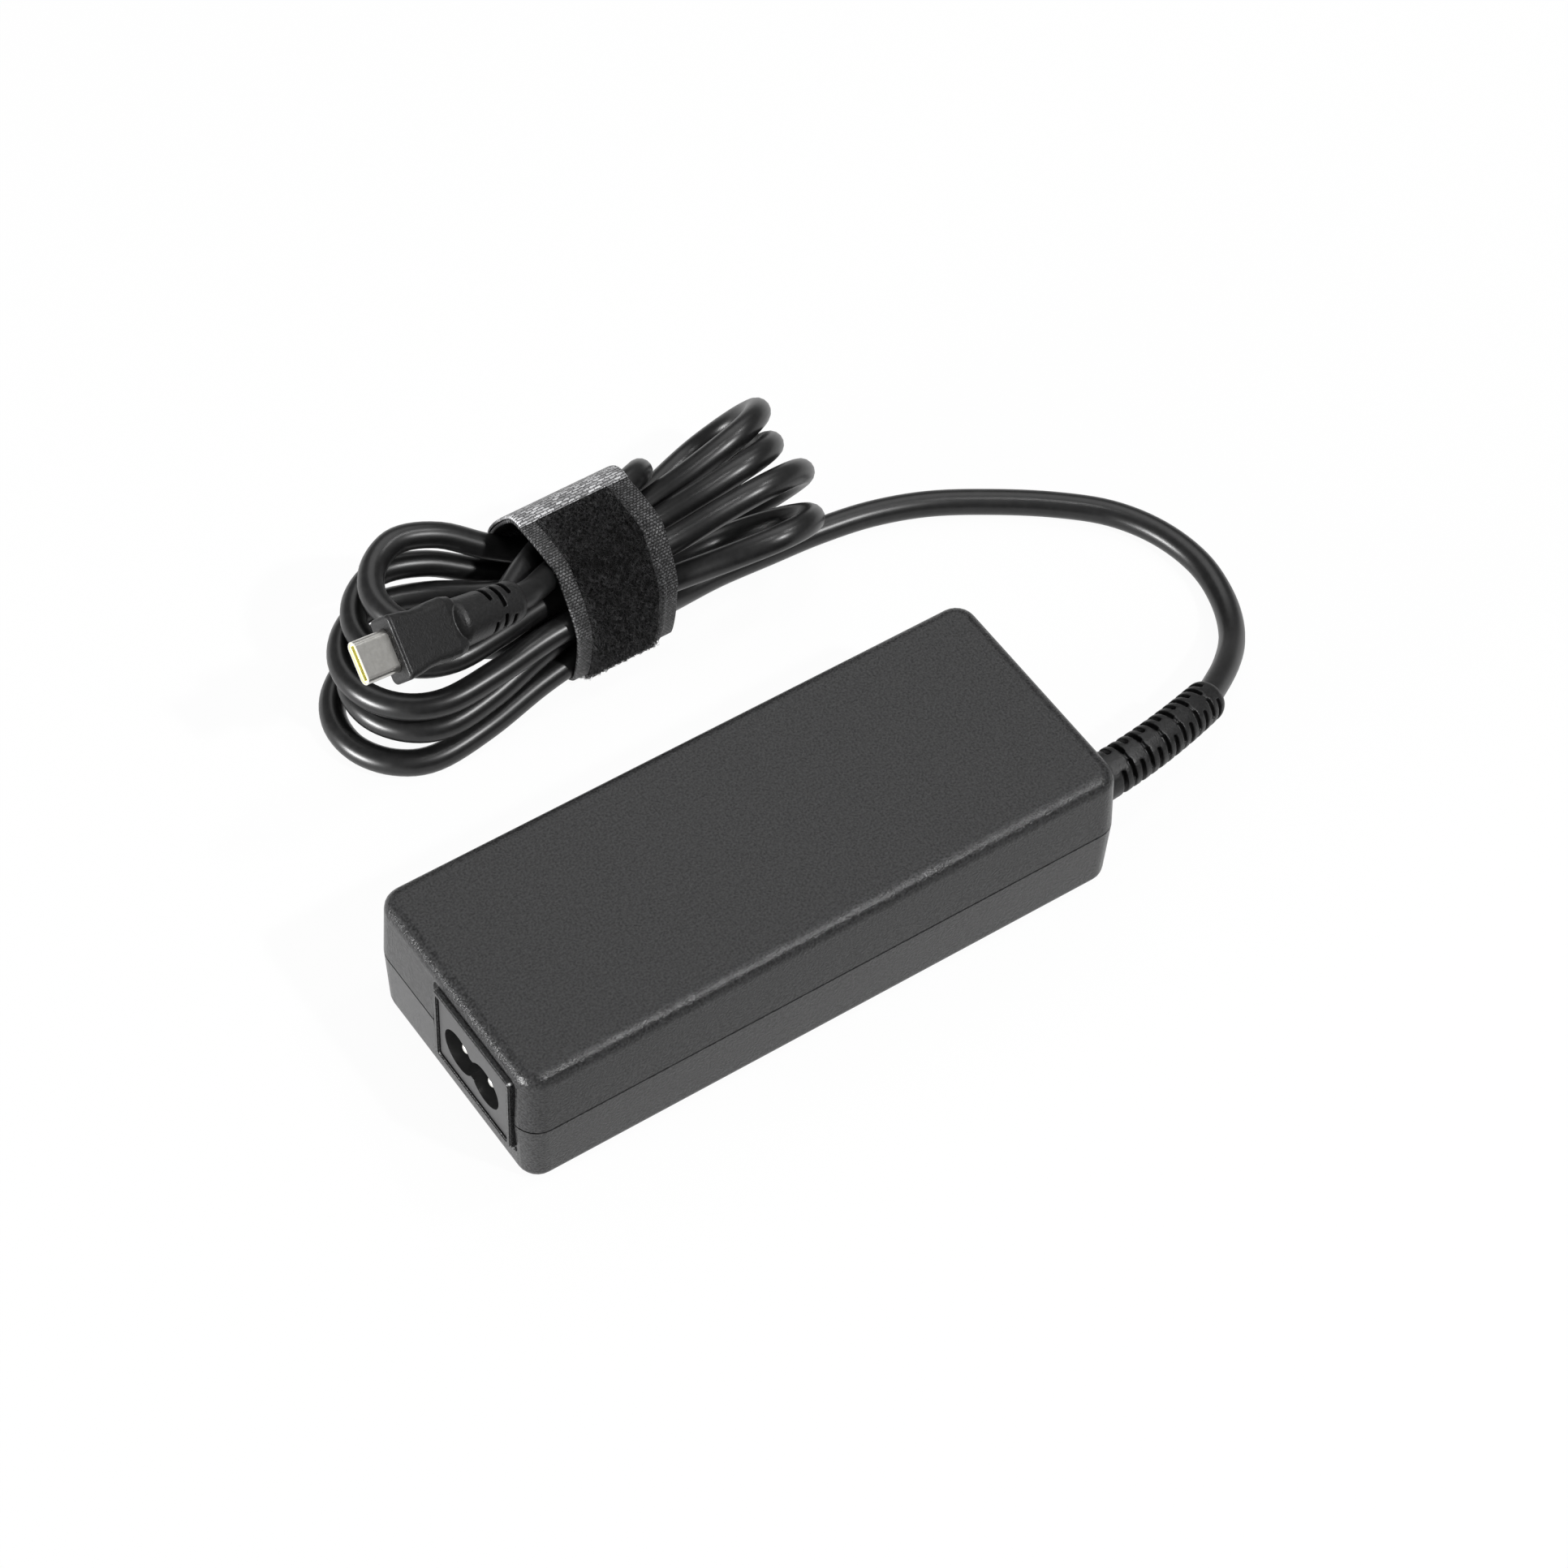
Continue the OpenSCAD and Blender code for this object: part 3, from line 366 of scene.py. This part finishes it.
def woven_cloth(name, gap, thread, width, length):
    """Short threads, width by length in mm, in staggered rows across the piece's own UV map."""
    mat = new_material(name, gap, 0.5, Specular_IOR_Level=0.3)
    shader = mat.node_tree.nodes["Principled BSDF"]
    coords = add_node(mat, "TexCoord")
    turned = add_node(mat, "Mapping", Rotation=(0, 0, math.radians(90)))
    noise = add_node(mat, "TexNoise", Scale=28.0, Detail=1.0)
    shift = add_node(mat, "VectorMath", operation="MULTIPLY_ADD")
    shift.inputs[1].default_value = THREAD_WANDER
    rows = add_node(mat, "TexBrick", Scale=1.0, Bias=0.0, Mortar=(*gap, 1), Color1=(*thread, 1),
                    Color2=(*(c * THREAD_DARKEST for c in thread), 1))
    for socket, value in (("Mortar Size", THREAD_GAP), ("Mortar Smooth", 0.9),
                          ("Brick Width", length / 10), ("Row Height", width / 10)):
        rows.inputs[socket].default_value = value
    bump = add_node(mat, "Bump", Strength=1.0, Distance=0.0002, invert=True)
    link(mat, coords, "UV", turned, "Vector")
    link(mat, coords, "UV", noise, "Vector")
    link(mat, noise, "Color", shift, 0)
    link(mat, turned, "Vector", shift, 2)
    link(mat, shift, "Vector", rows, "Vector")
    link(mat, rows, "Color", shader, "Base Color")
    link(mat, rows, "Fac", bump, "Height")
    link(mat, bump, "Normal", shader, "Normal")
    return mat


# ---------------------------------------------------------------- plain finishes, and the set

# Mostly of what lies inside. Slot: colour, roughness, metallic
PLAIN_FINISHES = {
    "tinned_copper": ((0.66, 0.5, 0.32), 0.35, 1.0),
    "circuit_board": ((0.03, 0.12, 0.05), 0.45, 0.0),
    "ceramic_tube": ((0.6, 0.55, 0.44), 0.5, 0.0),
    "blue_coating": ((0.03, 0.1, 0.35), 0.3, 0.0),
    "yellow_box": ((0.55, 0.36, 0.04), 0.45, 0.0),
    "copper_winding": ((0.55, 0.22, 0.07), 0.3, 0.6),
    "black_epoxy": ((0.02, 0.02, 0.021), 0.5, 0.0),
    "capacitor_sleeve": ((0.03, 0.04, 0.12), 0.3, 0.0),
    "capacitor_can": ((0.7, 0.71, 0.73), 0.3, 1.0),
    "bare_aluminium": ((0.7, 0.71, 0.73), 0.35, 1.0),
    "ferrite": ((0.05, 0.05, 0.055), 0.6, 0.0),
    "bobbin_plastic": ((0.35, 0.28, 0.16), 0.5, 0.0),
    "winding_tape": ((0.62, 0.42, 0.04), 0.3, 0.0),
    "insulating_film": ((0.72, 0.69, 0.55), 0.5, 0.0),
    "wire_jacket": ((0.4, 0.03, 0.02), 0.4, 0.0),
    "tie_fabric": ((0.012, 0.012, 0.013), 0.9, 0.0),
    "plug_insulator": ((0.8, 0.77, 0.33), 0.4, 0.0),
    "gold_contact": ((0.83, 0.6, 0.2), 0.25, 1.0),
}
PLAIN_DARKEST = 0.88                # the darkest patches' share of the colour


def plain_finish(name, colour, roughness, metal):
    """One even colour with faint patches and a faint grain."""
    mat = new_material(name, colour, roughness, Metallic=metal)
    patches(mat, tuple(c * PLAIN_DARKEST for c in colour), colour, 800)
    grain(mat, 2500, 2, 0.15, 0.00003)
    return mat


def make_materials():
    """Every finish under its slot's name, and the tie's own four."""
    made = {
        "textured_case": spark_textured_plastic(), "inlet_plastic": inlet_plastic(),
        "cord_jacket": cord_pvc(), "moulded_rubber": moulded_rubber(),
        "plug_metal": plug_steel(), "plated_pin": pin_plating(),
        "tie_weave": woven_cloth("tie_weave", grey(0.004), grey(0.1), 0.56, 0.75),
        "tie_hook_back": woven_cloth("tie_hook_back", grey(0.06), grey(0.5), 0.62, 1.5),
        "tie_pile": tie_pile(), "tie_fibre": tie_fibre(),
    }
    for slot, finish in PLAIN_FINISHES.items():
        made[slot] = plain_finish(slot, *finish)
    return made


def paint(obj, mat):
    obj.data.materials.clear()
    obj.data.materials.append(mat)


def paint_cad_nodes(mats):
    for sub in frame["record"]["subparts"]:
        paint(NODES[sub["node"]], mats[sub["material_slot"]])


# ---------------------------------------------------------------- floor and lamps

FLOOR_SIZE = 6
FLOOR_GREY = 0.6                    # the floor's colour for the light that it sends back
FLOOR_WHITE = 0.95                  # share of plain white where it is seen, shadow or not
AIR_GREY, AIR_STRENGTH = 0.8, 0.25

# Name, place, what it points at, size in metres, power in watts
LAMPS = [
    ("softbox_back", (0.5, 0.83, 1.3), (0, 0.03, 0), (1.1, 1.1), 7.5),
    ("softbox_left", (-1.4, 0.05, 0.16), (0, 0, 0.01), (0.7, 0.3), 54),
    ("lamp_over", (0, -0.12, 1.5), (0, 0.05, 0), (0.2, 0.2), 3.5),
    ("lamp_right", (0.78, -0.1, 1.28), (0.03, 0.08, 0), (0.16, 0.16), 5),
    ("lamp_front", (0.42, -0.86, 1.1), (0, 0, 0.02), (0.08, 0.08), 18),
]


def floor_material():
    """White to the camera, in reflections and through glass, and plain grey to the light."""
    mat = bpy.data.materials.new("floor_white")
    mat.use_nodes = True
    mat.node_tree.nodes.clear()
    out = add_node(mat, "OutputMaterial")
    lit = add_node(mat, "BsdfDiffuse", Color=(FLOOR_GREY, FLOOR_GREY, FLOOR_GREY, 1))
    white = add_node(mat, "Emission", Color=(1, 1, 1, 1))
    ray = add_node(mat, "LightPath")
    camera_or_gloss = add_node(mat, "Math", operation="ADD")
    seen = add_node(mat, "Math", operation="ADD")
    share = add_node(mat, "Math", operation="MULTIPLY")
    share.inputs[1].default_value = FLOOR_WHITE
    mix = add_node(mat, "MixShader")
    link(mat, ray, "Is Camera Ray", camera_or_gloss, 0)
    link(mat, ray, "Is Glossy Ray", camera_or_gloss, 1)
    link(mat, camera_or_gloss, 0, seen, 0)
    link(mat, ray, "Is Transmission Ray", seen, 1)
    link(mat, seen, 0, share, 0)
    link(mat, share, 0, mix, 0)
    link(mat, lit, 0, mix, 1)
    link(mat, white, 0, mix, 2)
    link(mat, mix, 0, out, "Surface")
    return mat


def make_floor():
    bpy.ops.mesh.primitive_plane_add(size=FLOOR_SIZE, location=(0, 0, 0))
    floor = bpy.context.object
    floor.name = "floor"
    floor.data.materials.append(floor_material())


def make_lamp(name, at, target, size, power):
    data = bpy.data.lights.new(name, "AREA")
    data.shape = "RECTANGLE"
    data.size, data.size_y = size
    data.energy = power
    lamp = bpy.data.objects.new(name, data)
    bpy.context.scene.collection.objects.link(lamp)
    at, target = Vector(at), Vector(target)
    lamp.location = at
    lamp.rotation_euler = (target - at).to_track_quat("-Z", "Y").to_euler()


def make_lights():
    world = bpy.data.worlds.new("studio")
    bpy.context.scene.world = world
    world.use_nodes = True
    air = world.node_tree.nodes["Background"]
    air.inputs["Color"].default_value = (AIR_GREY, AIR_GREY, AIR_GREY, 1)
    air.inputs["Strength"].default_value = AIR_STRENGTH
    for lamp in LAMPS:
        make_lamp(*lamp)
    bpy.context.scene.view_settings.view_transform = "Standard"


# ---------------------------------------------------------------- smooth copies of the solids

WELD = 0.002                        # points of a solid that are nearer than this are one
FLAT_ANGLE = math.radians(0.6)      # facets that turn less than this are one face
ROUND_ANGLE = math.radians(40)      # edges that turn more than this are rounded
CRISP_ANGLE = math.radians(32)      # edges that turn more than this are shaded as edges
PLATE_ROUND, PIN_ROUND = 0.2, 0.8
RELIEF_CELL, GRIP_CELL = 0.17, 0.15 # sizes of the even cells
CELL_PASSES = 4                     # smoothing passes over them
NOSE_PAST, NOSE_OUT = -60, 0.45     # points of the pins past this x move out by this much


def select_only(obj):
    bpy.ops.object.select_all(action="DESELECT")
    obj.select_set(True)
    bpy.context.view_layer.objects.active = obj


def modify(obj, kind, **settings):
    """Adds one modifier and applies it."""
    mod = obj.modifiers.new(kind.lower(), kind)
    for key, value in settings.items():
        setattr(mod, key, value)
    select_only(obj)
    bpy.ops.object.modifier_apply(modifier=mod.name)


def copy_of(node, name):
    obj = NODES[node].copy()
    obj.data = NODES[node].data.copy()
    obj.name = name
    for key in list(obj.keys()):
        if key.startswith("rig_"):
            del obj[key]
    obj.parent = None
    bpy.context.scene.collection.objects.link(obj)
    return obj


def weld(obj, join_flat):
    select_only(obj)
    bpy.ops.object.mode_set(mode="EDIT")
    bpy.ops.mesh.select_all(action="SELECT")
    bpy.ops.mesh.remove_doubles(threshold=WELD * MM)
    if join_flat:
        bpy.ops.mesh.dissolve_limited(angle_limit=FLAT_ANGLE)
    bpy.ops.object.mode_set(mode="OBJECT")


def stand_for(node, obj, slot, mats, crisp_angle):
    """Shades and paints a copy, and lets it stand for its solid."""
    select_only(obj)
    bpy.ops.object.shade_smooth_by_angle(angle=crisp_angle)
    modify(obj, "WEIGHTED_NORMAL", keep_sharp=True, weight=80)
    paint(obj, mats[slot])
    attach(obj, "root")
    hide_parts(node)
    return obj


def crisp_copy(node, name, slot, mats, rounding=0.0):
    """A welded copy of a solid, with its sharp edges rounded where a rounding is given."""
    obj = copy_of(node, name)
    weld(obj, join_flat=True)
    if rounding:
        modify(obj, "BEVEL", width=rounding * MM, segments=2, limit_method="ANGLE",
               angle_limit=ROUND_ANGLE, use_clamp_overlap=True, harden_normals=False)
    return stand_for(node, obj, slot, mats, CRISP_ANGLE)


def soft_copy(node, name, slot, mats, cell):
    """A copy of a solid in small even cells, with every edge a little soft."""
    obj = copy_of(node, name)
    weld(obj, join_flat=False)
    modify(obj, "REMESH", mode="VOXEL", voxel_size=cell * 1 * MM)
    modify(obj, "SMOOTH", factor=0.5, iterations=CELL_PASSES)
    return stand_for(node, obj, slot, mats, math.pi)


def draw_out_noses(pins):
    """Brings the pins' round noses out to just inside the socket's edge."""
    for vertex in pins.data.vertices:
        if vertex.co.x < NOSE_PAST * MM:
            vertex.co.x -= NOSE_OUT * MM


# ---------------------------------------------------------------- hook-and-loop tie

# Angles go round the tie, in degrees, seen along X, from +Y by way of up. The strap starts at
# TIE_FROM, goes once round the runs, climbs onto its own start over LAP_RISE from LAP_FROM on,
# and lies on it up to TIE_END. The hook end is the part past HOOK_FROM.
TIE_W = 24
TIE_X0 = TIE_AT[0] - TIE_W / 2
TIE_FROM, TIE_END = 330, 806
LAP_FROM, LAP_RISE, LAP_LIFT = 672, 24, 0.85
HOOK_FROM = 678
TIE_DEGREES, LOOK_DEGREES = 1.5, 3.0 # steps of the strap's line, and of the look for runs
STRAP_SLACK = 1.5                   # a higher value holds the strap closer to the runs
STRAP_CLEAR = 0.1                   # between the strap and the cord
STRAP_STEP = 0.45
RUN_SPACING = 1.2                   # outer runs that are nearer than this count as one
HELD_PAST = 1                       # how far past the strap's edges a run still carries it

# Its section: thicknesses, widths of the selvedges, the pile's bed between them with its
# sloped sides, a ridge along the right selvedge, and the hook end, which thins out at its tip
STRAP_T = 0.7
STRAP_INSIDE = 0.02                 # height of the inner face over the strap's line
SELVEDGE_L, SELVEDGE_R = 3.2, 4.6
EDGE_THINNER = 0.2
BED_H, BED_OVER, BED_SLOPE = 0.35, 0.3, 0.8     # height, lap over the selvedges, side
RIDGE_H, RIDGE_IN, RIDGE_W = 0.3, 3.4, 0.35     # height, distance from the edge, width
HOOK_T, HOOK_EDGE_T = 0.55, 0.35
TIP_SHARE, TIP_GROWTH = 0.35, 0.25              # share left at the tip, and more in each row

# Points across it: from, to and how many, and one close to each edge
RIM = 0.2
LOOP_PLACES = [(0.7, 4.4, 10), (5.4, 17.6, 14), (18.4, 23.3, 18)]
HOOK_PLACES = [(0.8, TIE_W - 0.8, 24)]

PINCH = 0.075                       # share of its width that the strap loses at the near side
PINCH_FROM, PINCH_TO, PINCH_EASE = 120, 330, 60

FIBRES = 8000    # in each half of the pile
FIBRE_ROOT = 0.3                    # height of the fibres' roots over the strap
FIBRE_REACH, FIBRE_H, FIBRE_R = (0.35, 1.0), (0.25, 0.75), (0.025, 0.045)
FIBRE_CURL = 0.5
TALL_SHARE, TALL_EXTRA = 0.2, 0.35  # how many stand taller, and by how much at most

# A fibre's line past its root, in shares of its reach, height and curl
FIBRE_LINE = [(0.3, 1, 0), (0.8, 1.05, 0.5), (1.1, 0.35, 1)]


def between(points, steps):
    return [a + (b - a) * k / steps for a, b in zip(points, points[1:]) for k in range(steps)]


def clamp(t):
    return min(max(t, 0), 1)


def outer_runs():
    """(y, z) of the outermost runs that the strap goes round."""
    held = np.array([p[1:] for p in between(lead + hank, steps=6) + between(tail, steps=3)
                     if abs(p[0] - TIE_AT[0]) < TIE_W / 2 + HELD_PAST])
    outer = []
    for a in np.radians(np.arange(0, 360, LOOK_DEGREES)):
        far = held[np.argmax(held @ np.array((math.cos(a), math.sin(a))))]
        if not any(np.allclose(far, c, atol=RUN_SPACING) for c in outer):
            outer.append(far)
    return np.array(outer)


def tie_line():
    """The strap's inner line round the runs: rows of (angle, y, z, out_y, out_z, distance)."""
    runs = outer_runs()
    rows = []
    for a in np.arange(TIE_FROM, TIE_END + 0.1, TIE_DEGREES):
        out = np.array((math.cos(math.radians(a)), math.sin(math.radians(a))))
        reach = runs @ out
        share = np.exp(STRAP_SLACK * (reach - reach.max()))
        hull = reach.max() + math.log(share.sum()) / STRAP_SLACK
        share /= share.sum()
        lift = LAP_LIFT * ease(clamp((a - LAP_FROM) / LAP_RISE))
        at = share @ runs + (hull - share @ reach + CORD_D / 2 + STRAP_CLEAR + lift) * out
        rows.append((a, *at, *out))
    rows = np.array(rows)
    along = np.concatenate(([0], np.cumsum(np.hypot(*np.diff(rows[:, 1:3], axis=0).T))))
    grid = np.linspace(0, along[-1], int(along[-1] / STRAP_STEP))
    return np.array([np.interp(grid, along, rows[:, c]) for c in range(5)] + [grid]).T


def mesh_object(name, verts, faces):
    mesh = bpy.data.meshes.new(name)
    mesh.from_pydata([tuple(v) for v in verts], [], faces)
    mesh.update()
    obj = bpy.data.objects.new(name, mesh)
    bpy.context.scene.collection.objects.link(obj)
    mesh.polygons.foreach_set("use_smooth", [True] * len(mesh.polygons))
    return obj


def width_kept(angle):
    """Share of its full width that the strap keeps: it is drawn in a little at the near side."""
    turned = angle % 360
    return 1 - (PINCH * ease(clamp((turned - PINCH_FROM) / PINCH_EASE))
                * ease(clamp((PINCH_TO - turned) / PINCH_EASE)))


def strap_height(x, hook):
    """Height of the strap's outer face over its inner one, at x across its width."""
    if hook:
        return HOOK_T if 0 < x < TIE_W else HOOK_EDGE_T
    inside = min((x - SELVEDGE_L + BED_OVER) / BED_SLOPE,
                 (TIE_W - SELVEDGE_R + BED_OVER - x) / BED_SLOPE, 1)
    ridge = RIDGE_H * math.exp(-((x - TIE_W + RIDGE_IN) / RIDGE_W) ** 2)
    edge = 0 if 0 < x < TIE_W else EDGE_THINNER
    return STRAP_T + BED_H * ease(max(inside, 0)) + ridge - edge


def strap_places(hook):
    """Where the strap's section has its points, across its width."""
    inner = [np.linspace(*span) for span in (HOOK_PLACES if hook else LOOP_PLACES)]
    return np.concatenate(([0, RIM], *inner, [TIE_W - RIM, TIE_W]))


def lay_cloth(obj, rows, places):
    """UV map in centimetres: the distance along the strap, and the place across it."""
    uv = obj.data.uv_layers.new(name="cloth")
    for loop in obj.data.loops:
        row, k = divmod(loop.vertex_index, len(places))
        uv.data[loop.index].uv = (rows[row][5] / 10, places[k] / 10)


def mark_pile_bed(obj, places):
    """Gives the outer faces between the selvedges the strap's second material."""
    ring = len(places)
    for poly in obj.data.polygons:
        around = [v % ring for v in poly.vertices]
        x = sum(places[k] for k in around) / len(around)
        outside = len(around) == 4 and max(around) < ring // 2
        if outside and SELVEDGE_L < x < TIE_W - SELVEDGE_R:
            poly.material_index = 1


def strap_mesh(name, rows, hook, mats):
    """One closed band along the rows, woven all over or with a bed for the pile."""
    outer = strap_places(hook)
    places = [*outer, *reversed(outer)]
    ring = len(places)
    last = len(rows) - 1
    verts, faces = [], []
    for i, (a, y, z, oy, oz, _) in enumerate(rows):
        kept = width_kept(a)
        thin = min(1, TIP_SHARE + (last - i) * TIP_GROWTH) if hook else 1
        for x in outer:
            h = strap_height(x, hook) * thin
            verts.append(((TIE_X0 + x * kept) * MM, (y + oy * h) * MM, (z + oz * h) * MM))
        for x in reversed(outer):
            verts.append(((TIE_X0 + x * kept) * MM, (y + oy * STRAP_INSIDE) * MM,
                          (z + oz * STRAP_INSIDE) * MM))
    for i in range(last):
        for k in range(ring):
            a, b = i * ring + k, i * ring + (k + 1) % ring
            faces.append((a, b, b + ring, a + ring))
    faces.append(tuple(range(ring - 1, -1, -1)))
    faces.append(tuple(last * ring + k for k in range(ring)))
    obj = mesh_object(name, verts, faces)
    lay_cloth(obj, rows, places)
    if hook:
        obj.data.materials.append(mats["tie_hook_back"])
    else:
        obj.data.materials.append(mats["tie_weave"])
        obj.data.materials.append(mats["tie_pile"])
        mark_pile_bed(obj, places)
    select_only(obj)
    bpy.ops.object.mode_set(mode="EDIT")
    bpy.ops.mesh.select_all(action="SELECT")
    bpy.ops.mesh.normals_make_consistent(inside=False)
    bpy.ops.object.mode_set(mode="OBJECT")
    return obj


def fibre(rng, rows, x0, x1):
    """One curled fibre: the four points of its line, its side and out directions, its radius."""
    s = rng.uniform(0, rows[-1][5] - rows[0][5]) + rows[0][5]
    x = rng.uniform(x0, x1)
    angle, y, z, oy, oz = (np.interp(s, rows[:, 5], rows[:, c]) for c in range(5))
    out = np.array((0, oy, oz))
    along = np.array((0, -oz, oy))
    wide = np.array((1.0, 0, 0))
    base = np.array((TIE_X0 + x * width_kept(angle), y, z)) + out * (STRAP_T + FIBRE_ROOT)
    turn = rng.uniform(0, TAU)
    lean = math.cos(turn) * along + math.sin(turn) * wide
    side = -math.sin(turn) * along + math.cos(turn) * wide
    reach = rng.uniform(*FIBRE_REACH)
    high = rng.uniform(*FIBRE_H) + (TALL_EXTRA * rng.random() if rng.random() < TALL_SHARE else 0)
    curl = rng.uniform(-FIBRE_CURL, FIBRE_CURL)
    line = [base] + [base + lean * reach * r + out * high * h + side * curl * c
                     for r, h, c in FIBRE_LINE]
    return line, side, out, rng.uniform(*FIBRE_R)


def make_pile(name, rows, x0, x1, mats, seed):
    """Short curled fibres, three-sided, that stand on the strap between x0 and x1."""
    rng = random.Random(seed)
    verts, faces = [], []
    for _ in range(FIBRES):
        line, side, out, r = fibre(rng, rows, x0, x1)
        start = len(verts)
        for p in line:
            for k in range(3):
                a = TAU * k / 3
                verts.append(tuple((p + r * (math.cos(a) * side + math.sin(a) * out)) * MM))
        for i in range(len(line) - 1):
            for k in range(3):
                a, b = start + 3 * i + k, start + 3 * i + (k + 1) % 3
                faces.append((a, b, b + 3, a + 3))
        faces.append((start + 2, start + 1, start))
        faces.append(tuple(len(verts) - 3 + k for k in range(3)))
    obj = mesh_object(name, verts, faces)
    obj.data.materials.append(mats["tie_fibre"])
    return obj


def make_tie(mats):
    """The loop strap with its pile, and the hook end that lies on it."""
    line = tie_line()
    split = int(np.searchsorted(line[:, 0], HOOK_FROM))
    bare = line[int(np.searchsorted(line[:, 0], TIE_END - 360)):split - 2]
    middle = (SELVEDGE_L + TIE_W - SELVEDGE_R) / 2
    pieces = [strap_mesh("tie_loop_strap", line[:split + 1], False, mats),
              strap_mesh("tie_hook_end", line[split - 2:], True, mats),
              make_pile("tie_pile_left", bare, SELVEDGE_L, middle, mats, seed=5),
              make_pile("tie_pile_right", bare, middle, TIE_W - SELVEDGE_R, mats, seed=6)]
    for piece in pieces:
        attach(piece, "root")
    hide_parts("cord_tie")
    return pieces


# ---------------------------------------------------------------- the scene

make_camera()
materials = make_materials()
cord, cord_line = make_cord()
paint(cord, materials["cord_jacket"])
paint_cad_nodes(materials)

crisp_copy("upper_shell", "case_top", "textured_case", materials)
crisp_copy("lower_shell", "case_bottom", "textured_case", materials)
crisp_copy("ac_inlet", "inlet_plate", "inlet_plastic", materials, PLATE_ROUND)
pin_pair = crisp_copy("inlet_pins", "pin_pair", "plated_pin", materials, PIN_ROUND)
draw_out_noses(pin_pair)
relief = soft_copy("strain_relief", "relief_sleeve", "moulded_rubber", materials, RELIEF_CELL)
grip = soft_copy("plug_body", "plug_grip", "moulded_rubber", materials, GRIP_CELL)
tie_pieces = make_tie(materials)

make_floor()
make_lights()
